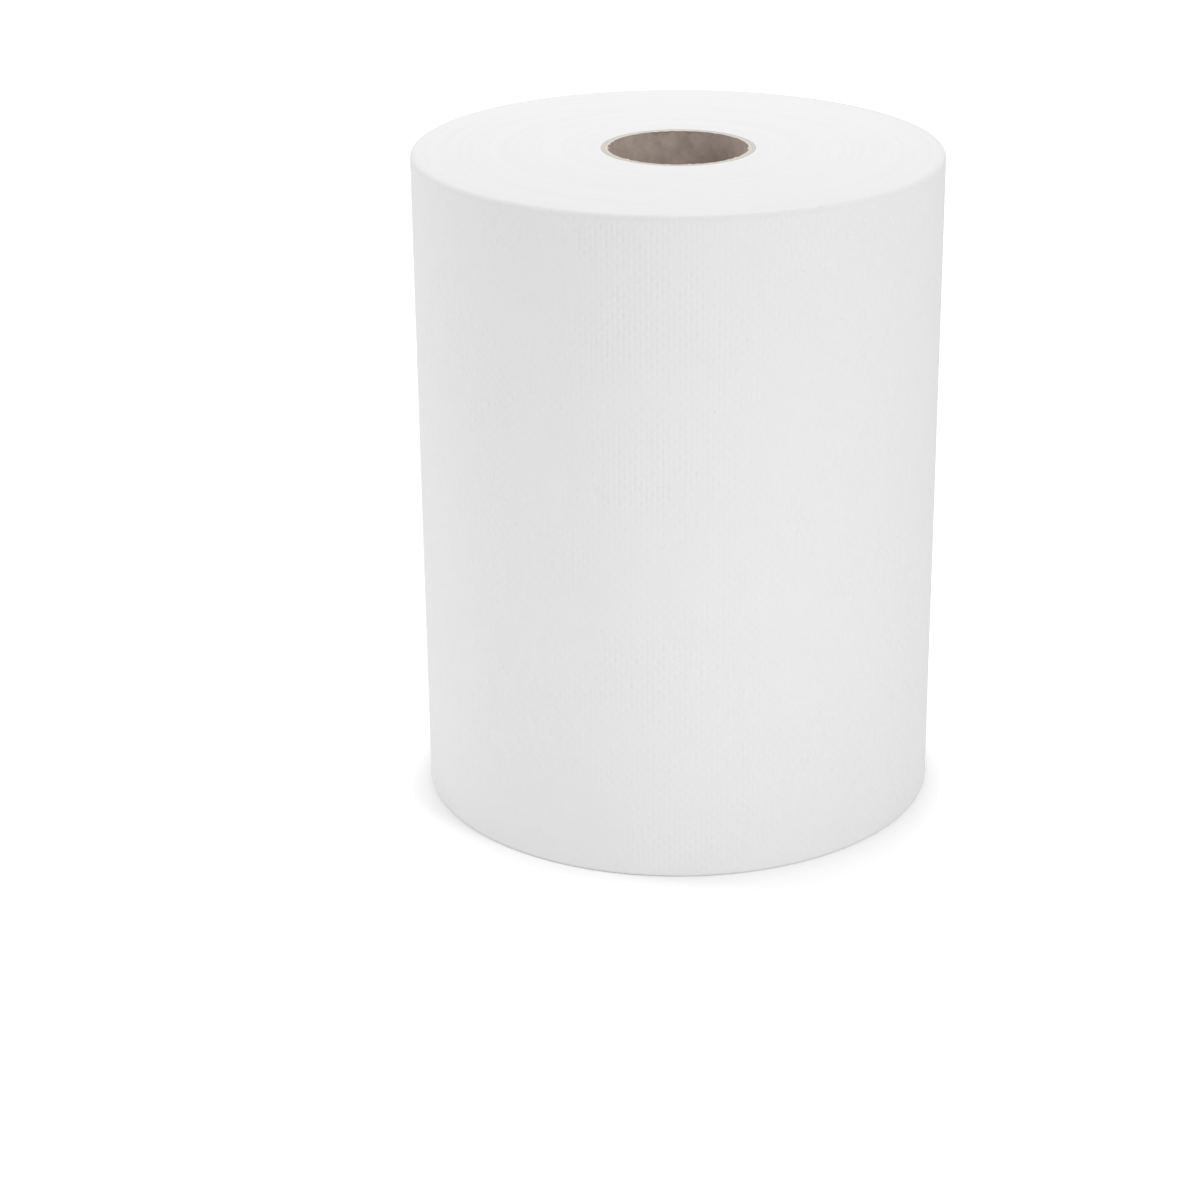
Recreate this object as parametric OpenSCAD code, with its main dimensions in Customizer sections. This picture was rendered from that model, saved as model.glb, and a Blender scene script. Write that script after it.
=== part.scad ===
// A hard-wound roll of white paper towel on a core of spiral-wound board, standing on one end.
// Millimetres, +Z up along the roll's axis, with the origin at the centre of the face it stands on.

/* [Roll] */
// Diameter over the last turn of paper
roll_d = 200; // [140:2:300]
// Width of the paper, which is the height of the standing roll
roll_h = 254; // [100:2:320]
// Radius of the soft edge round each end, where the knife and handling have rubbed the outer turns
rim_r = 2; // [0.5:0.5:5]

/* [Core] */
// Diameter of the hole that a dispenser's spindle goes into
bore_d = 53; // [38:1:77]
// Thickness of the core's board
core_wall = 2.3; // [1.5:0.1:5]
// Plies of board that the core is wound from
core_plies = 2; // [2:1:4]
// Depth of the line between two plies on the core's cut ends
ply_line_depth = 0.15; // [0.05:0.05:0.3]

/* [Paper] */
// Thickness of the embossed sheet where nothing presses on it, which is the step at its tail
sheet_t = 0.3; // [0.1:0.05:1]
// Slack between the core and the first turn of paper
core_slack = 0.1; // [0.05:0.05:0.5]
// Angle round the roll of the sheet's cut tail, from +X towards +Y
tail_angle = 115; // [0:5:355]
// Distance between two of the lines that the turns leave on the ends, with many turns to each line
turn_pitch = 6; // [3:0.5:12]
// Depth of the lines that the turns leave on the ends
turn_line_depth = 0.2; // [0.1:0.05:0.5]

/* [Hidden] */

$fn = 180;
HALF_TURN = 180;

roll_r = roll_d / 2;
bore_r = bore_d / 2;
core_r = bore_r + core_wall;
ply_t = core_wall / core_plies;

// The paper starts just outside the core, and its ends are flat up to the soft edges
web_inner_r = core_r + core_slack;
web_flat_r = roll_r - rim_r;

// The turn lines keep half their pitch away from the core and from the soft edges
first_line_r = web_flat_r - turn_pitch / 2;
last_line_r = web_inner_r + turn_pitch / 2;
line_half_turns = floor((first_line_r - last_line_r) / (turn_pitch / 2));

// Side of a square that stands on its corner and sinks in by a line's depth
function vee_side(depth) = depth * sqrt(2);

// A half turn of a spiral that goes inwards by one step each turn, drawn with half circles from
// two centres half a step apart. The children are its section at the radius of that half turn.
module half_turn(index, step) {
    second_half = index % 2;
    translate([-second_half * step / 2, 0, 0])
        rotate(second_half * HALF_TURN)
            rotate_extrude(angle = HALF_TURN)
                children();
}

// Radius of a half turn of that spiral, counted inwards from its outer end
function half_turn_r(outer_r, index, step) = outer_r - index * step / 2;

// Section of the whole roll out to one radius, with its two outer corners rounded
module roll_section(outer_r) {
    square([outer_r - rim_r, roll_h]);
    translate([0, rim_r])
        square([outer_r, roll_h - 2 * rim_r]);
    for (corner_z = [rim_r, roll_h - rim_r])
        translate([outer_r - rim_r, corner_z])
            circle(rim_r);
}

// The last turn of the sheet winds inwards by one thickness, which leaves the step at its tail
module last_turn() {
    for (index = [0, 1])
        half_turn(index, sheet_t)
            roll_section(half_turn_r(roll_r, index, sheet_t));
}

// Vee-shaped line on both ends at one radius
module end_vees(radius, depth) {
    for (end_z = [0, roll_h])
        translate([radius, end_z])
            rotate(45)
                square(vee_side(depth), center = true);
}

// The spiral that the edges of the wound turns draw on both ends
module turn_lines() {
    for (index = [0 : 1 : line_half_turns - 1])
        half_turn(index, turn_pitch)
            end_vees(half_turn_r(first_line_r, index, turn_pitch), turn_line_depth);
}

module wound_paper() {
    color([0.94, 0.94, 0.94])
        rotate(tail_angle)
            difference() {
                last_turn();
                translate([0, 0, -rim_r])
                    cylinder(r = web_inner_r, h = roll_h + 2 * rim_r);
                turn_lines();
            }
}

module core_tube() {
    color([0.58, 0.53, 0.49])
        difference() {
            cylinder(r = core_r, h = roll_h);
            translate([0, 0, -core_wall])
                cylinder(r = bore_r, h = roll_h + 2 * core_wall);
            for (ply = [1 : 1 : core_plies - 1])
                rotate_extrude()
                    end_vees(bore_r + ply * ply_t, ply_line_depth);
        }
}

wound_paper();
core_tube();
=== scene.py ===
# A hard-wound roll of white paper towel on a board core, standing on one end.
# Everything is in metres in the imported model's frame, with +Z up along the roll's axis.
import math

import bpy
import numpy as np
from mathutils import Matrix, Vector


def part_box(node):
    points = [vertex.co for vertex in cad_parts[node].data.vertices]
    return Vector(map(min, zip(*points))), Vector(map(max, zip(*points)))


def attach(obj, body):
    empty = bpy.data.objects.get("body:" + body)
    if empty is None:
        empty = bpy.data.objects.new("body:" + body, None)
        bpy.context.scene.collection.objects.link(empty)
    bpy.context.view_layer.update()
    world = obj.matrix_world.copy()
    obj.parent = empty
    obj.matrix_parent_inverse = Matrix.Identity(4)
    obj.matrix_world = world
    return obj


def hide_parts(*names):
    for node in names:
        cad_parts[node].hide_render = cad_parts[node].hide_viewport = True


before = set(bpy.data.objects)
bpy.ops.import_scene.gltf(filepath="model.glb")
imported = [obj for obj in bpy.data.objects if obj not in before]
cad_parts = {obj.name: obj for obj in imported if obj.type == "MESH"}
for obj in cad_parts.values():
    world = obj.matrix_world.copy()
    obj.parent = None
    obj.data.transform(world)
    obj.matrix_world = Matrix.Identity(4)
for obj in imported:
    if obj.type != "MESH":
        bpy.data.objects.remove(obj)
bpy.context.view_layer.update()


# The core
# A tube of recycled board in two plies, wound in a spiral on a mandrel and glued. The saw that
# cuts the finished log to length cuts it too, and leaves both ends rough with torn fibres.
MM = 0.001
core_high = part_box("core_tube")[1]
core_radius = core_high.x
core_length = core_high.z
bore_radius = 26.5 * MM
ply_line_radius = (core_radius + bore_radius) / 2
ply_line_width = 0.16 * MM
ply_line_depth = 0.18 * MM
ply_colour_blur = 0.1 * MM
winding_lead = 116 * MM
seam_angle = math.radians(-60)
seam_width = 0.35 * MM
seam_depth = 0.22 * MM
CORE_COLUMNS = 360
BORE_ROWS = 72
outer_ring_inset = 0.25 * MM
inner_ring_inset = 0.35 * MM
cut_roughness = 0.16 * MM
burr_reach = 0.25 * MM
TUFTS = 22
tuft_reach = (0.15 * MM, 1.1 * MM)
tuft_half_width = (0.4 * MM, 1.0 * MM)
tuft_height = 0.5 * MM
bore_waviness = 0.05 * MM
top_cut_seed = 3
bottom_cut_seed = 4
top_tuft_seed = 7
bottom_tuft_seed = 8
bore_wave_seed = 9
inner_edge_seed = 11
board_relief = 0.12 * MM
board_cut_relief = 0.15 * MM
board_roughness = 0.9
board_cut_roughness = 0.95
matt_shine = 0.25
board_crease = math.radians(50)
board_dark = (0.430, 0.360, 0.310, 1)
board_light = (0.690, 0.600, 0.540, 1)
board_speck = (0.270, 0.220, 0.190, 1)
cut_outer_ply = (0.720, 0.715, 0.660, 1)
cut_inner_ply = (0.800, 0.752, 0.685, 1)


class Shade:
    """One socket of a material's nodes. Arithmetic on it adds Math nodes."""

    def __init__(self, tree, socket=None):
        self.tree = tree
        self.socket = socket

    def node(self, kind, settings=None, inputs=None, output=0):
        """Adds a node: its settings first, then the values or links of its sockets."""
        made = self.tree.nodes.new("ShaderNode" + kind)
        for name, value in (settings or {}).items():
            setattr(made, name, value)
        for name, value in (inputs or {}).items():
            if isinstance(value, Shade):
                self.tree.links.new(value.socket, made.inputs[name])
            else:
                made.inputs[name].default_value = value
        return Shade(self.tree, made.outputs[output]) if len(made.outputs) else None

    def math(self, operation, first, second):
        return self.node("Math", {"operation": operation}, {0: first, 1: second})

    def __add__(self, other):
        return self.math("ADD", self, other)

    def __radd__(self, other):
        return self.math("ADD", other, self)

    def __sub__(self, other):
        return self.math("SUBTRACT", self, other)

    def __rsub__(self, other):
        return self.math("SUBTRACT", other, self)

    def __mul__(self, other):
        return self.math("MULTIPLY", self, other)

    def __rmul__(self, other):
        return self.math("MULTIPLY", other, self)


def new_material(name):
    """An empty material, and the Shade that its nodes are added through."""
    material = bpy.data.materials.new(name)
    material.use_nodes = True
    material.node_tree.nodes.clear()
    return material, Shade(material.node_tree)


def millimetres(shade):
    """The point on the piece in millimetres of the shared frame."""
    point = shade.node("TexCoord", output="Object")
    return shade.node("VectorMath", {"operation": "SCALE"}, {0: point, "Scale": 1 / MM})


def coordinate(shade, point, axis):
    return shade.node("SeparateXYZ", {}, {"Vector": point}, output=axis)


def stretched(shade, point, factors):
    return shade.node("VectorMath", {"operation": "MULTIPLY"}, {0: point, 1: factors})


def from_axis(shade, point):
    """How far the point is from the roll's axis."""
    flat = stretched(shade, point, (1, 1, 0))
    return shade.node("VectorMath", {"operation": "LENGTH"}, {0: flat}, output="Value")


def noise(shade, point, scale, detail=3.0, roughness=0.5):
    """Noise from 0 to 1 with scale features to the millimetre."""
    sockets = {"Vector": point, "Scale": scale, "Detail": detail, "Roughness": roughness}
    return shade.node("TexNoise", {"noise_dimensions": "3D"}, sockets)


def step_between(shade, value, zero_at, one_at):
    """0 at the first of two values and before it, 1 at the second and past it, and a soft step in
    between."""
    sockets = {"Value": value, "From Min": zero_at, "From Max": one_at}
    return shade.node("MapRange", {"interpolation_type": "SMOOTHSTEP"}, sockets)


def blend_colours(shade, share, first, second):
    return shade.node("Mix", {"data_type": "RGBA"}, {0: share, 6: first, 7: second}, output=2)


def bump(shade, height, depth):
    """The normal over a relief in which a height of 1 stands out by the depth, in metres."""
    return shade.node("Bump", {}, {"Height": height, "Distance": depth, "Strength": 1.0})


def matt_surface(shade, colour, roughness, normal):
    """A matt surface with a weak shine, and the material's output."""
    sockets = {
        "Base Color": colour,
        "Roughness": roughness,
        "Specular IOR Level": matt_shine,
        "Normal": normal,
    }
    surface = shade.node("BsdfPrincipled", {}, sockets)
    shade.node("OutputMaterial", {}, {"Surface": surface})


def board_face():
    """The board's face: streaks along the winding, cloudy pulp, fine fibres and dark specks."""
    material, shade = new_material("board_face")
    point = millimetres(shade)
    turn = coordinate(shade, point, "Z") * (-2 * math.pi * MM / winding_lead)
    sockets = {"Vector": point, "Angle": turn}
    along = shade.node("VectorRotate", {"rotation_type": "Z_AXIS"}, sockets)
    streak_space = stretched(shade, along, (1, 1, 0.2))
    streaks = noise(shade, streak_space, scale=0.45, detail=4.0, roughness=0.6)
    clouds = noise(shade, point, scale=0.2)
    fibre_space = stretched(shade, along, (1, 1, 0.5))
    fibres = noise(shade, fibre_space, scale=2.2, detail=4.0, roughness=0.65)
    tone = streaks * 0.5 + clouds * 1.2 + fibres - 0.85
    colour = blend_colours(shade, tone, board_dark, board_light)
    grains = noise(shade, stretched(shade, point, (1, 1, 2)), scale=0.9, detail=1.0)
    specks = step_between(shade, grains, zero_at=0.73, one_at=0.77)
    colour = blend_colours(shade, specks * 0.7, colour, board_speck)
    relief = fibres * 0.6 + streaks * 0.4
    matt_surface(shade, colour, board_roughness, bump(shade, relief, board_relief))
    return material


def board_cut():
    """The sawn end of the board, with its greyer outer ply and its warmer inner one."""
    material, shade = new_material("board_cut")
    point = millimetres(shade)
    ply_line = [(ply_line_radius + side * ply_colour_blur) / MM for side in (-1, 1)]
    outer = step_between(shade, from_axis(shade, point), *ply_line)
    colour = blend_colours(shade, outer, cut_inner_ply, cut_outer_ply)
    fibres = noise(shade, point, scale=2.4, detail=4.0, roughness=0.7)
    gaps = step_between(shade, fibres, zero_at=0.62, one_at=0.35)
    colour = blend_colours(shade, gaps * 0.3, colour, board_dark)
    matt_surface(shade, colour, board_cut_roughness, bump(shade, fibres, board_cut_relief))
    return material


def wobble(angle, height, waves, finest, seed):
    """A rough line round the roll: a sum of seeded waves, about -1 to 1, that meets itself."""
    coarsest = 3
    usual_peak = 1.5
    draw = np.random.default_rng(seed)
    total = np.zeros(np.broadcast(angle, height).shape)
    for _ in range(waves):
        around = draw.integers(coarsest, finest)
        upwards = draw.uniform(-1, 1) * around / core_radius
        total += np.cos(around * angle + upwards * height + draw.uniform(0, 2 * math.pi))
    return total / math.sqrt(waves) / usual_peak


def rough_line(angle, level, waves, finest, seed):
    """A wobble kept within 0 to 1, with its middle at the level."""
    return (level + (1 - level) * wobble(angle, 0, waves, finest, seed)).clip(0, 1)


def ring_faces(first, second):
    """Four-sided faces between two closed rings of vertices."""
    following = np.roll(first, -1), np.roll(second, -1)
    return np.stack([first, following[0], following[1], second], axis=1)


def mesh_piece(name, points, face_lists, materials):
    """An object from its points and, for each material, the list of its faces."""
    mesh = bpy.data.meshes.new(name)
    faces = [list(map(int, face)) for faces in face_lists for face in faces]
    mesh.from_pydata(np.asarray(points).tolist(), [], faces)
    for material in materials:
        mesh.materials.append(material)
    index = np.repeat(np.arange(len(face_lists)), [len(faces) for faces in face_lists])
    mesh.polygons.foreach_set("material_index", index.astype(np.int32))
    mesh.polygons.foreach_set("use_smooth", np.ones(len(faces), dtype=bool))
    piece = bpy.data.objects.new(name, mesh)
    bpy.context.scene.collection.objects.link(piece)
    return piece


def core_columns():
    """The columns' angles from the seam on, evenly spread but for three across the seam, and which
    of them is sunk: the seam's middle."""
    half_seam = seam_width / 2 / bore_radius
    spacing = 2 * math.pi / CORE_COLUMNS
    spread = np.arange(1, CORE_COLUMNS) * spacing
    angles = np.concatenate([[-half_seam, 0, half_seam], spread])
    sunk = np.zeros(len(angles))
    sunk[1] = 1
    return seam_angle + angles, sunk


def torn_fibres(angle, seed):
    """How far the tufts of fibre that the saw left on the inner edge reach inwards."""
    draw = np.random.default_rng(seed)
    reach = np.zeros(len(angle))
    for middle in draw.uniform(0, 2 * math.pi, TUFTS):
        aside = np.angle(np.exp(1j * (angle - middle))) * bore_radius
        across = aside / draw.uniform(*tuft_half_width)
        reach += draw.uniform(*tuft_reach) * np.exp(-across**2)
    return reach


def board_tube():
    """Rings of points round the wall of the tube, over its top end, down the bore and under its
    bottom end, and whether the faces from each ring to the next are sawn. The columns follow the
    seam up its helix."""
    columns, sunk = core_columns()
    points = []
    sawn = []

    def angles_at(height):
        return columns + 2 * math.pi * height / winding_lead

    def add_ring(radius, height, rise, is_sawn):
        angle = angles_at(height)
        heights = height + rise + np.zeros(len(angle))
        points.append(np.stack([radius * np.cos(angle), radius * np.sin(angle), heights], axis=1))
        sawn.append(is_sawn)

    def sawn_end(height, inwards, seed, section):
        """A sawn end. Each of its rings has a radius, a share of the roughness and a depth."""
        angle = angles_at(height)
        rough = cut_roughness * rough_line(angle, level=0.5, waves=24, finest=90, seed=seed)
        for radius, share, depth in section:
            add_ring(radius, height, inwards * (rough * share + depth), True)

    def bore_wall():
        """The bore from the top down, with tufts at both edges and the seam in the inner ply."""
        shares = (1 - np.cos(np.linspace(0, math.pi, BORE_ROWS))) / 2
        for row, share in enumerate(shares):
            height = core_length * (1 - share)
            angle = angles_at(height)
            from_edge = min(height, core_length - height)
            seed = top_tuft_seed if share < 0.5 else bottom_tuft_seed
            fuzz = burr_reach * rough_line(angle, level=0.35, waves=30, finest=70, seed=seed)
            inside = (fuzz + torn_fibres(angle, seed)) * math.exp(-from_edge / tuft_height)
            if row in (0, BORE_ROWS - 1):
                waves = 0.0
                rough = rough_line(angle, level=0.5, waves=24, finest=60, seed=inner_edge_seed)
                rise = cut_roughness * (rough if row else -rough)
            else:
                waves = wobble(angle, height, waves=12, finest=9, seed=bore_wave_seed)
                rise = 0.0
            radius = bore_radius - inside + bore_waviness * waves + sunk * seam_depth
            add_ring(radius, height, rise, row == 0 or row >= BORE_ROWS - 2)

    half_line = ply_line_width / 2
    section = [
        (core_radius, 0.0, 0.0),
        (core_radius - outer_ring_inset, 0.4, 0.0),
        (ply_line_radius + half_line, 0.7, 0.0),
        (ply_line_radius, 0.6, ply_line_depth),
        (ply_line_radius - half_line, 0.5, 0.0),
        (bore_radius + inner_ring_inset, 0.8, 0.0),
    ]
    sawn_end(core_length, -1, top_cut_seed, section)
    bore_wall()
    sawn_end(0.0, 1, bottom_cut_seed, section[::-1])

    # The faces from the last ring to the first are the tube's outside
    sawn[-1] = False
    return points, sawn


def core_piece():
    points, sawn = board_tube()
    numbers = np.arange(sum(map(len, points))).reshape(len(points), -1)
    faces = {True: [], False: []}
    for first, second, is_sawn in zip(numbers, np.roll(numbers, -1, axis=0), sawn):
        faces[is_sawn].append(ring_faces(second, first))
    groups = [np.concatenate(faces[False]), np.concatenate(faces[True])]
    return mesh_piece("board_core", np.concatenate(points), groups, [board_face(), board_cut()])


core = core_piece()
core.data.set_sharp_from_angle(angle=board_crease)
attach(core, "root")
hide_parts("core_tube")


# The wound paper
# One sheet of embossed white towel, some six hundred turns, wound hard on the core and sawn to
# width. Its tail is cut straight and glued down with a line of glue at the back.
paper_low, paper_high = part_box("wound_paper")
roll_radius = max(paper_high.x, paper_high.y, -paper_low.x, -paper_low.y)
roll_height = paper_high.z
hole_radius = 28.9 * MM
rim_radius = 2.0 * MM
foot_radius = 1.2 * MM
RIM_STEPS = 5
plain_margin = 0.6 * MM
sheet_thickness = 0.3 * MM
tail_angle = math.radians(115)
emboss_pitch = 3.94 * MM
dimple_half_width = 0.85 * MM
dimple_depths = (0.07 * MM, 0.16 * MM)
dimple_seed = 21
dash_bottom = (0.15 * MM, 0.8 * MM)
dash_rim = (0.85 * MM, 1.8 * MM)
dash_depth = 0.11 * MM
least_press = 0.3
least_in_patch = 0.2
crepe_height = 0.025 * MM
pulp_height = 0.012 * MM
ring_height = 0.035 * MM
broad_ring_height = 0.05 * MM
lint_height = 0.02 * MM
END_RINGS = 11
telescoping = 0.05 * MM
PAPER_COLUMNS = 2 * round(math.pi * 2 * roll_radius / emboss_pitch)
wall_low = rim_radius + plain_margin
wall_high = roll_height - wall_low
PAPER_ROWS = round((wall_high - wall_low) / (emboss_pitch / 2))
row_spacing = (wall_high - wall_low) / PAPER_ROWS
paper_roughness = 0.95
paper_crease = math.radians(60)
paper_white = (0.905, 0.905, 0.905, 1)
paper_shade = (0.870, 0.870, 0.872, 1)
paper_speck = (0.760, 0.750, 0.730, 1)


def pressed_dashes(shade, point):
    """How deep the embossing pins press, in millimetres. The pins stand in two square grids, each
    in the gaps of the other, and some press less than others."""
    x, y, z = (coordinate(shade, point, axis) for axis in "XYZ")
    column = (shade.math("ARCTAN2", y, x) - tail_angle) * (PAPER_COLUMNS / 2 / (2 * math.pi))
    row = (z - wall_low / MM) * (MM / (2 * row_spacing))
    depths = []
    for shift in (0.5, 1.0):
        places = (column + shift, row + shift)
        slopes = []
        for place, rim, bottom in zip(places, dash_rim, dash_bottom):
            aside = shade.math("ABSOLUTE", shade.math("FRACT", place, 0) - 0.5, 0)
            slopes.append(step_between(shade, aside * (emboss_pitch / MM), rim / MM, bottom / MM))
        cells = [shade.math("FLOOR", place, 0) for place in places]
        pin = shade.node("CombineXYZ", {}, {"X": cells[0], "Y": cells[1], "Z": shift})
        press = shade.node("TexWhiteNoise", {"noise_dimensions": "3D"}, {"Vector": pin})
        depths.append(slopes[0] * slopes[1] * (press * (1 - least_press) + least_press))
    pressure = noise(shade, point, scale=0.02, detail=1.0)
    patches = step_between(shade, pressure, zero_at=0.3, one_at=0.6)
    share = patches * (1 - least_in_patch) + least_in_patch
    return (depths[0] + depths[1]) * share * (dash_depth / MM)


def towel_face():
    """The sheet's face: pressed dashes, crepe ridges that run up the roll, cloudy pulp and a few
    specks in it."""
    material, shade = new_material("towel_face")
    point = millimetres(shade)
    crepe_space = stretched(shade, point, (1, 1, 0.12))
    crepe = noise(shade, crepe_space, scale=2.2, detail=4.0, roughness=0.6)
    pulp = noise(shade, point, scale=0.9, detail=4.0, roughness=0.6)
    clouds = noise(shade, point, scale=0.05, detail=2.0)
    colour = blend_colours(shade, pulp * 0.7 + clouds * 0.5 - 0.1, paper_shade, paper_white)
    sockets = {"Vector": point, "Scale": 0.08}
    apart = shade.node("TexVoronoi", {"feature": "F1"}, sockets, output="Distance")
    specks = step_between(shade, apart, zero_at=0.05, one_at=0.015)
    colour = blend_colours(shade, specks * 0.6, colour, paper_speck)
    relief = crepe * (crepe_height / MM) + pulp * (pulp_height / MM) - pressed_dashes(shade, point)
    matt_surface(shade, colour, paper_roughness, bump(shade, relief, MM))
    return material


def ring_noise(shade, point, fineness, change):
    """Noise in rings round the axis, with fineness features to the millimetre outwards, that
    changes slowly from place to place."""
    x, y = (coordinate(shade, point, axis) for axis in "XY")
    outwards = from_axis(shade, point) * fineness
    turned = shade.node("CombineXYZ", {}, {"X": outwards, "Y": x * change, "Z": y * change})
    return noise(shade, turned, scale=1.0, roughness=0.6)


def towel_edge():
    """The sawn ends. The edges of the turns are faint rings that come and go round the roll, and
    where the sheet was wound tighter or looser, many turns together make a broader one."""
    material, shade = new_material("towel_edge")
    point = millimetres(shade)
    rings = ring_noise(shade, point, fineness=3.0, change=0.02)
    tension = ring_noise(shade, point, fineness=0.45, change=0.008)
    broad_rings = step_between(shade, tension, zero_at=0.3, one_at=0.7)
    lint = noise(shade, point, scale=2.0, detail=4.0, roughness=0.6)
    colour = blend_colours(shade, rings * 0.7 + broad_rings * 0.6 - 0.15, paper_shade, paper_white)
    relief = rings * (ring_height / MM) + broad_rings * (broad_ring_height / MM)
    relief = relief + lint * (lint_height / MM)
    matt_surface(shade, colour, paper_roughness, bump(shade, relief, MM))
    return material


def wound_sheet():
    """The roll's points, and its faces in three groups: the smooth ones between the dimples and
    round the rims, the dimples, and the ends with the hole."""
    columns = np.arange(PAPER_COLUMNS + 1)
    angles = tail_angle + columns * 2 * math.pi / PAPER_COLUMNS
    outside = roll_radius - sheet_thickness * columns / PAPER_COLUMNS
    draw = np.random.default_rng(dimple_seed)
    points = []
    smooth_faces = []
    dimple_faces = []
    end_faces = []
    count = 0

    def add(radius, angle, height):
        nonlocal count
        block = np.broadcast_arrays(radius * np.cos(angle), radius * np.sin(angle), height)
        points.append(np.stack(block, axis=-1))
        numbers = count + np.arange(len(points[-1]))
        count += len(numbers)
        return numbers

    def stepped_ring(inset, height):
        """A ring that keeps the step at the tail."""
        return add(outside - inset, angles, height)

    def closed_ring(radius, height):
        """A ring inside the step, which meets itself."""
        numbers = add(radius, angles[:-1], height)
        return np.append(numbers, numbers[0])

    def wall_row(row):
        """A row of the emboss: where a dimple lies it has two sides and a sunk middle."""
        dimple = (columns + row) % 2 == 0
        dimple[[0, -1]] = False
        if row in (0, PAPER_ROWS):
            dimple[:] = False
        height = wall_low + row * row_spacing
        depth = draw.uniform(*dimple_depths, len(columns))
        middle = stepped_ring(depth * dimple, height)
        side = dimple_half_width / roll_radius
        left, right = middle.copy(), middle.copy()
        left[dimple] = add(outside[dimple], angles[dimple] - side, height)
        right[dimple] = add(outside[dimple], angles[dimple] + side, height)
        return dimple, left, middle, right

    def bridge(rings, faces):
        """Faces from each ring to the next."""
        for first, second in zip(rings, rings[1:]):
            faces.append(np.stack([first[:-1], first[1:], second[1:], second[:-1]], axis=1))

    # The embossed wall
    wall = [wall_row(row) for row in range(PAPER_ROWS + 1)]
    for (_, left, _, right), (_, next_left, _, next_right) in zip(wall, wall[1:]):
        sides = [right[:-1], left[1:], next_left[1:], next_right[:-1]]
        smooth_faces.append(np.stack(sides, axis=1))
    for row, (dimple, left, middle, right) in enumerate(wall):
        if not dimple.any():
            continue
        above, below = wall[row + 1][2], wall[row - 1][2]
        upper_faces = (left, middle, above), (middle, right, above)
        lower_faces = (left, below, middle), (middle, below, right)
        for corners in upper_faces + lower_faces:
            dimple_faces.append(np.stack([corner[dimple] for corner in corners], axis=1))

    # The soft edges at the top and the base
    top_rim = []
    bottom_rim = []
    turns = np.linspace(0, math.pi / 2, RIM_STEPS + 1)
    for turn in turns:
        inset = rim_radius * (1 - math.cos(turn))
        drop = rim_radius * (1 - math.sin(turn))
        top_rim.append(stepped_ring(inset, roll_height - drop))
    for turn in reversed(turns):
        inset = foot_radius * (1 - math.cos(turn))
        rise = foot_radius * (1 - math.sin(turn))
        bottom_rim.append(stepped_ring(inset, rise))
    bridge(bottom_rim + [wall[0][2]], smooth_faces)
    bridge([wall[-1][2]] + top_rim, smooth_faces)

    # The top end, the hole and the bottom end
    flat_radii = np.linspace(roll_radius - rim_radius, hole_radius, END_RINGS + 1)[1:]
    steps = telescoping * draw.uniform(0, 1, len(flat_radii))
    top_end = [closed_ring(radius, roll_height - step) for radius, step in zip(flat_radii, steps)]
    bottom_end = [closed_ring(radius, step) for radius, step in zip(flat_radii[::-1], steps[::-1])]
    bridge(top_end + bottom_end, end_faces)

    # Where the step at the tail runs out on the ends, three faces take in its inner corner
    outer, inner = top_rim[-1], top_end[0]
    end_faces.append(np.stack([outer[1:-1], outer[2:], inner[2:], inner[1:-1]], axis=1))
    end_faces.append([(outer[1], inner[1], inner[0]), (outer[1], inner[0], outer[-1])])
    end_faces.append([(outer[1], outer[-1], outer[0])])
    inner, outer = bottom_end[-1], bottom_rim[0]
    end_faces.append(np.stack([inner[1:-1], inner[2:], outer[2:], outer[1:-1]], axis=1))
    end_faces.append([(outer[1], inner[0], inner[1]), (outer[1], outer[-1], inner[0])])
    end_faces.append([(outer[1], outer[0], outer[-1])])

    # The cut edge of the tail
    stepped = bottom_rim + [row[2] for row in wall] + top_rim
    for first, second in zip(stepped, stepped[1:]):
        smooth_faces.append([(first[0], second[0], second[-1], first[-1])])
    return np.concatenate(points), smooth_faces, dimple_faces, end_faces


def sharpen(mesh, is_dimple, angle):
    """Sharp edges where the mesh turns by more than the angle, and round the rim of each dimple."""
    mesh.set_sharp_from_angle(angle=angle)
    sharp = np.empty(len(mesh.edges), dtype=bool)
    mesh.edges.foreach_get("use_edge_sharp", sharp)
    corner_edges = np.empty(len(mesh.loops), dtype=np.int32)
    mesh.loops.foreach_get("edge_index", corner_edges)
    corner_counts = np.empty(len(mesh.polygons), dtype=np.int32)
    mesh.polygons.foreach_get("loop_total", corner_counts)
    dimple_edges = corner_edges[np.repeat(is_dimple, corner_counts)]
    rims = np.bincount(dimple_edges, minlength=len(mesh.edges)) == 1
    mesh.edges.foreach_set("use_edge_sharp", sharp | rims)


def paper_piece():
    points, *face_groups = wound_sheet()
    groups = [[face for faces in group for face in faces] for group in face_groups]
    face, edge = towel_face(), towel_edge()
    piece = mesh_piece("wound_towel", points, groups, [face, face, edge])
    is_dimple = np.repeat([False, True, False], [len(group) for group in groups])
    sharpen(piece.data, is_dimple, paper_crease)
    return piece


paper = paper_piece()
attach(paper, "root")
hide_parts("wound_paper")


# The floor
# White studio card, which lights the roll as a white card does. Only the camera sees it brighter,
# and less bright close to the roll, which paints a narrow shadow round the base over the real soft
# one. Outside that the card is plain white.
floor_half_width = 12.0
card_white = (0.93, 0.93, 0.93, 1)
# How bright the camera sees the card right by the roll: a painted shadow round the base.
card_seen_in_painted_shadow = (1.07, 1.07, 1.07, 1)
card_seen_near = (1.29, 1.29, 1.29, 1)
card_seen_far = (2.1, 2.1, 2.1, 1)
painted_shadow_start = roll_radius - 10 * MM
painted_shadow_end = roll_radius + 17 * MM
near_the_roll = 0.25
far_from_roll = 1.3


def seen_directly(shade):
    """1 for what the camera sees, also in a gloss or through glass, and 0 for what lights the
    roll."""
    kinds = ("Camera", "Glossy", "Transmission")
    rays = [shade.node("LightPath", output=f"Is {kind} Ray") for kind in kinds]
    return shade.node("Clamp", {}, {"Value": rays[0] + rays[1] + rays[2]})


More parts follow.
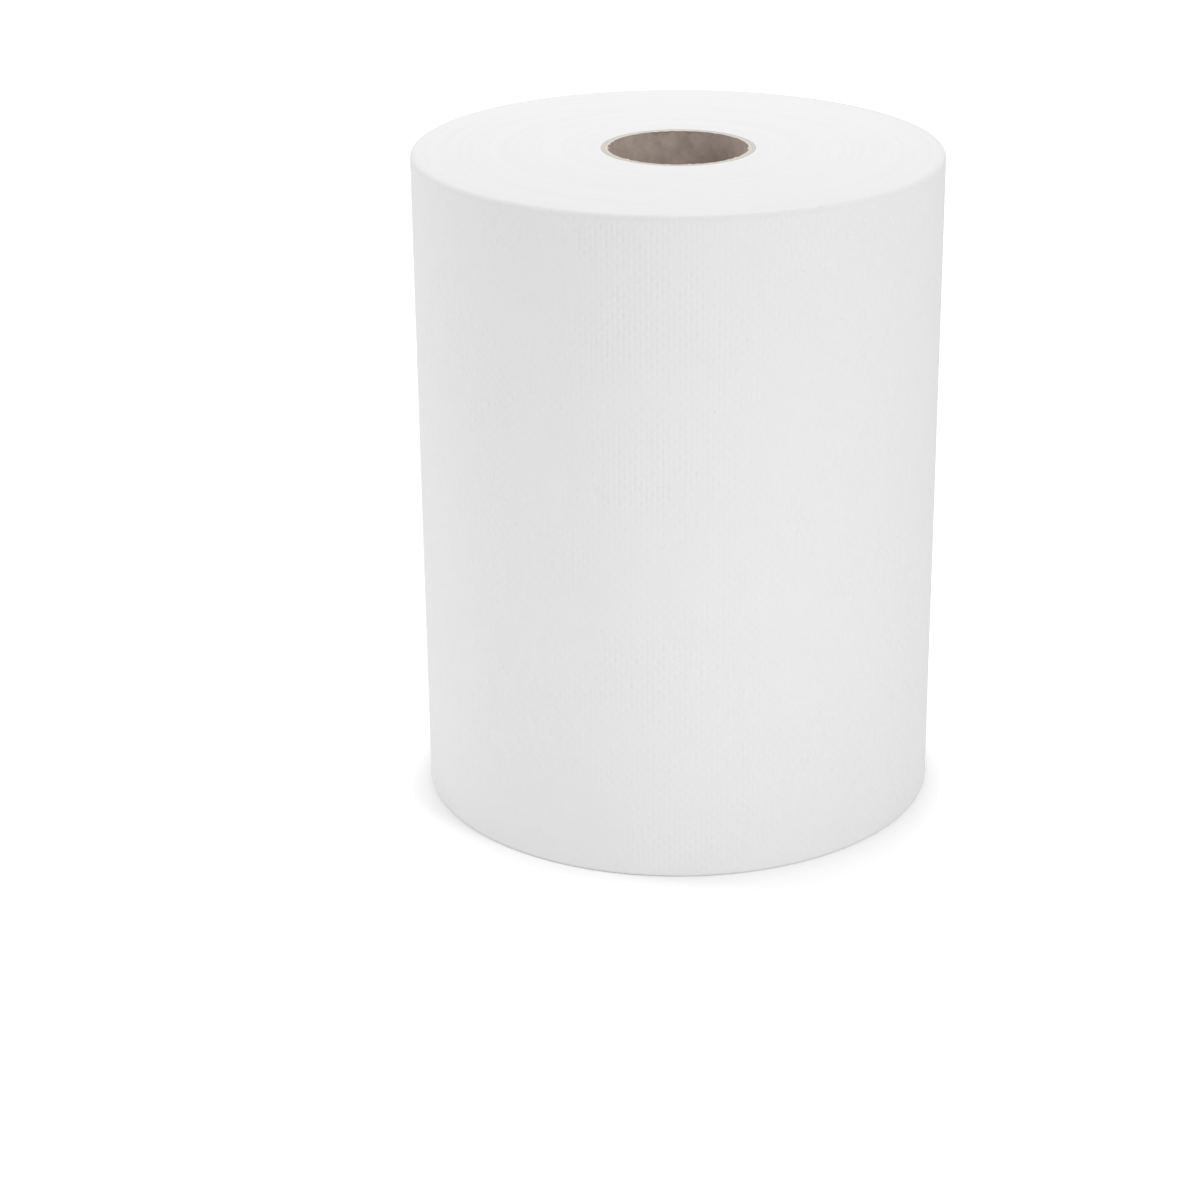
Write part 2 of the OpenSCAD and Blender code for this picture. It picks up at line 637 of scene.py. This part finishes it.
def studio_card():
    material, shade = new_material("studio_card")
    point = shade.node("TexCoord", output="Object")
    distance = shade.node("VectorMath", {"operation": "LENGTH"}, {0: point}, output="Value")
    # A painted shadow: close to the roll the camera sees the card less bright, which deepens the
    # real shadow round the base.
    clear = step_between(shade, distance, painted_shadow_start, painted_shadow_end)
    away = step_between(shade, distance, near_the_roll, far_from_roll)
    bright = blend_colours(shade, clear, card_seen_in_painted_shadow, card_seen_near)
    bright = blend_colours(shade, away, bright, card_seen_far)
    colour = blend_colours(shade, seen_directly(shade), card_white, bright)
    card = shade.node("BsdfDiffuse", {}, {"Color": colour})
    shade.node("OutputMaterial", {}, {"Surface": card})
    return material


def floor_piece():
    corners = ((-1, -1), (1, -1), (1, 1), (-1, 1))
    points = [(x * floor_half_width, y * floor_half_width, 0.0) for x, y in corners]
    return mesh_piece("floor", points, [[(0, 1, 2, 3)]], [studio_card()])


floor = floor_piece()


# The light
# A white room with six soft lamps. The small one at the back lightens the far half of the top, the
# left one grazes the edge of the roll, and the two low ones lighten the foot of the wall.
room_strength = 0.552
room_white = (1, 1, 1, 1)
lamps = (
    ("right_lamp", (1.15, -1.13, 1.10), (0.0, 0.0, 0.15), 0.6, 6.95),
    ("overhead_lamp", (0.0, 0.25, 1.6), (0.0, 0.0, 0.0), 0.5, 3.1),
    ("back_lamp", (0.0, 0.40, 0.75), (0.0, 0.0, 0.25), 0.4, 0.75),
    ("left_lamp", (-1.6, 0.45, 0.7), (0.0, 0.0, 0.15), 0.6, 5.6),
    ("low_left_lamp", (-0.28, -0.42, 0.04), (0.0, 0.0, 0.03), 0.25, 0.21),
    ("low_front_lamp", (0.18, -0.36, 0.05), (0.0, 0.0, 0.03), 0.3, 0.085),
)


def white_room():
    world = bpy.data.worlds.new("white_room")
    bpy.context.scene.world = world
    world.use_nodes = True
    world.node_tree.nodes.clear()
    shade = Shade(world.node_tree)
    strength = room_strength + seen_directly(shade) * (1 - room_strength)
    background = shade.node("Background", {}, {"Color": room_white, "Strength": strength})
    shade.node("OutputWorld", {}, {"Surface": background})


def soft_lamp(name, place, target, size, power):
    """A round lamp of a size in metres and a power in watts, which the camera doesn't see."""
    light = bpy.data.lights.new(name, "AREA")
    light.shape = "DISK"
    light.size = size
    light.energy = power
    lamp = bpy.data.objects.new(name, light)
    bpy.context.scene.collection.objects.link(lamp)
    backwards = Vector(place) - Vector(target)
    lamp.rotation_euler = backwards.to_track_quat("Z", "Y").to_euler()
    lamp.location = place
    lamp.visible_camera = False


white_room()
for lamp_settings in lamps:
    soft_lamp(*lamp_settings)


# The camera
# It stands a metre in front of the roll and half a metre up, and looks down at it. The lens is
# shifted, because the roll stands right of the middle of the frame and yet is seen squarely.
camera_place = (0.0, -1.0816, 0.5158)
camera_pitch = math.radians(22.344)
lens_length = 88.40
lens_shift = -0.0652
sensor_width = 36.0
nearest_seen = 0.01


def main_camera():
    data = bpy.data.cameras.new("camera")
    data.lens = lens_length
    data.sensor_width = sensor_width
    data.shift_x = lens_shift
    data.clip_start = nearest_seen
    camera = bpy.data.objects.new("camera", data)
    bpy.context.scene.collection.objects.link(camera)
    camera.location = camera_place
    camera.rotation_euler = (math.pi / 2 - camera_pitch, 0, 0)
    bpy.context.scene.camera = camera


main_camera()
bpy.context.scene.view_settings.view_transform = "Standard"
